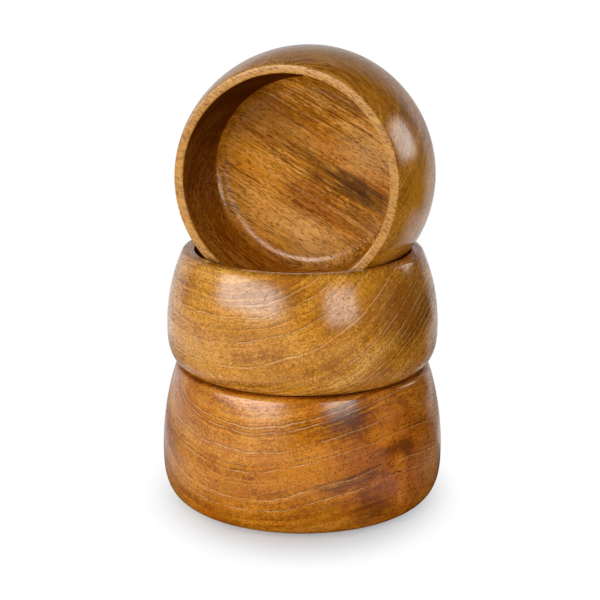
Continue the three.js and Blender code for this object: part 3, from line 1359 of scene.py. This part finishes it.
def top_wood() -> MangoWood:
    """Wood of the smallest bowl, with straight grain across its floor.

    Returns:
        The wood.
    """
    # Dark patches on the floor; the first two, on its upper part, are painted shadow of the upper wall.
    dark_patches_and_painted_shadow = (
        StainAndPaintedLight((-28.0, 36.0, 21.0), (24.0, 14.0, 40.0), 0.75, (0.210, 0.060, 0.002)),
        StainAndPaintedLight((11.5, 46.0, 21.0), (12.0, 9.0, 28.0), 0.6, (0.200, 0.070, 0.003)),
        StainAndPaintedLight((-5.0, 13.0, 21.0), (9.0, 9.0, 20.0), 0.45, (0.280, 0.090, 0.005)),
        StainAndPaintedLight((-1.0, -14.0, 21.0), (11.0, 9.0, 22.0), 0.65, (0.290, 0.066, 0.003)),
        StainAndPaintedLight((36.0, -27.0, 21.0), (11.0, 9.0, 20.0), 0.55, (0.170, 0.060, 0.010)),
    )
    # Light patches on the floor: the first is orange wood; the other three, on its lower and right parts,
    # are pale wood with painted sheen and light in it.
    light_patches_and_painted_sheen = (
        StainAndPaintedLight((-38.0, 3.0, 21.0), (11.0, 9.0, 24.0), 0.8, (0.700, 0.245, 0.006)),
        StainAndPaintedLight((-26.0, -24.0, 21.0), (16.0, 9.0, 28.0), 0.75, (0.740, 0.320, 0.044)),
        StainAndPaintedLight((5.0, -39.0, 21.0), (13.0, 9.0, 30.0), 0.9, (0.800, 0.400, 0.110)),
        StainAndPaintedLight((35.0, 12.0, 21.0), (16.0, 9.0, 22.0), 0.75, (0.720, 0.370, 0.100)),
    )
    dark_streaks = (
        StainAndPaintedLight((12.6, 2.5, 21.0), (3.0, 9.0, 24.0), 0.65, (0.090, 0.034, 0.009)),
        StainAndPaintedLight((31.2, -8.6, 21.0), (7.0, 9.0, 22.0), 0.97, (0.070, 0.026, 0.007)),
    )
    wall_patches = (
        StainAndPaintedLight((68.0, 0.0, 43.0), (20.0, 18.0, 28.0), 0.75, (0.680, 0.270, 0.008)),
        StainAndPaintedLight((60.0, -29.0, 50.0), (15.0, 12.0, 18.0), 0.6, (0.640, 0.280, 0.020)),
        StainAndPaintedLight((60.0, 37.0, 34.0), (15.0, 12.0, 20.0), 0.45, (0.200, 0.070, 0.006)),
        StainAndPaintedLight((45.0, 47.0, 52.0), (14.0, 14.0, 14.0), 0.6, (0.640, 0.240, 0.010)),
        StainAndPaintedLight((10.0, 67.0, 42.0), (32.0, 12.0, 20.0), 0.75, (0.740, 0.330, 0.025)),
    )
    return MangoWood(
        grain=Grain(heading=61.0, pith=(-53.0, -96.0, -60.0)),
        palette=Palette(
            dark=(0.200, 0.060, 0.002), golden=(0.600, 0.212, 0.006), light=(0.820, 0.380, 0.060),
            yellow=(0.660, 0.260, 0.004), red=(0.500, 0.130, 0.004),
        ),
        pores=Pores(
            spacing=0.45, outer_share=0.4, inner_share=0.82, rim_share=0.85, squeeze=0.12, row_contrast=1.6,
        ),
        stains_and_painted_light=StainsAndPaintedLight(dark_patches_and_painted_shadow + light_patches_and_painted_sheen + dark_streaks + wall_patches),
        tones=Tones(fibre_contrast=3.2, mottle_contrast=1.7, fine_contrast=1.2, fibre_width=0.9),
        hairlines=Hairlines(strength=0.9),
        outer_contrast=0.65,
        rim_share=0.75,
    )


def make_bowls() -> list[TurnedBowl]:
    """The three bowls from the lowest to the highest.

    Returns:
        The bowls, ready to be built.
    """
    upright = Matrix.Identity(4)
    middle_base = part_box("middle_bowl")[0].z
    raised = Matrix.Translation((0.0, 0.0, middle_base))
    lying = lying_place(base=(9.127, 26.102, 182.04), turn=17.2, lean=3.4)
    return [
        TurnedBowl(
            "lower_bowl", "lower", "lower_wood", lower_wood(), upright,
            belly_diameter=159.0, belly_height=27.0, height=77.0, rim_diameter=142.6, rim_thickness=6.0,
            rim_rounding=2.6, base_diameter=126.0, floor_diameter=122.0, floor_thickness=20.0,
        ),
        TurnedBowl(
            "middle_bowl", "middle", "middle_wood", middle_wood(), raised,
            belly_diameter=152.0, belly_height=23.5, height=66.6, rim_diameter=132.8, rim_thickness=6.2,
            rim_rounding=3.2, base_diameter=118.0, floor_diameter=112.0, floor_thickness=18.0,
        ),
        TurnedBowl(
            "top_bowl", "top", "top_wood", top_wood(), lying,
            belly_diameter=141.2, belly_height=20.0, height=65.0, rim_diameter=124.0, rim_thickness=4.7,
            rim_rounding=1.2, base_diameter=114.0, floor_diameter=106.8, floor_thickness=21.0,
        ),
    ]


def main() -> None:
    """Build and dress the stack, and set up the studio round it."""
    logging.basicConfig(level=logging.INFO, format="%(message)s")
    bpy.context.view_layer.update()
    bpy.context.scene.view_settings.view_transform = "Standard"
    Viewpoint(
        side=-0.0014185, distance=0.8514615, height=0.3400315, pitch=14.9781, roll=0.0945, focal=1568.05,
    ).build()
    for bowl in make_bowls():
        piece = bowl.build()
        bowl.dress(piece)
        LOG.info("%s: %d faces on body %s", piece.name, len(piece.data.polygons), bowl.body)
    Studio().build()


if __name__ == "__main__":
    main()
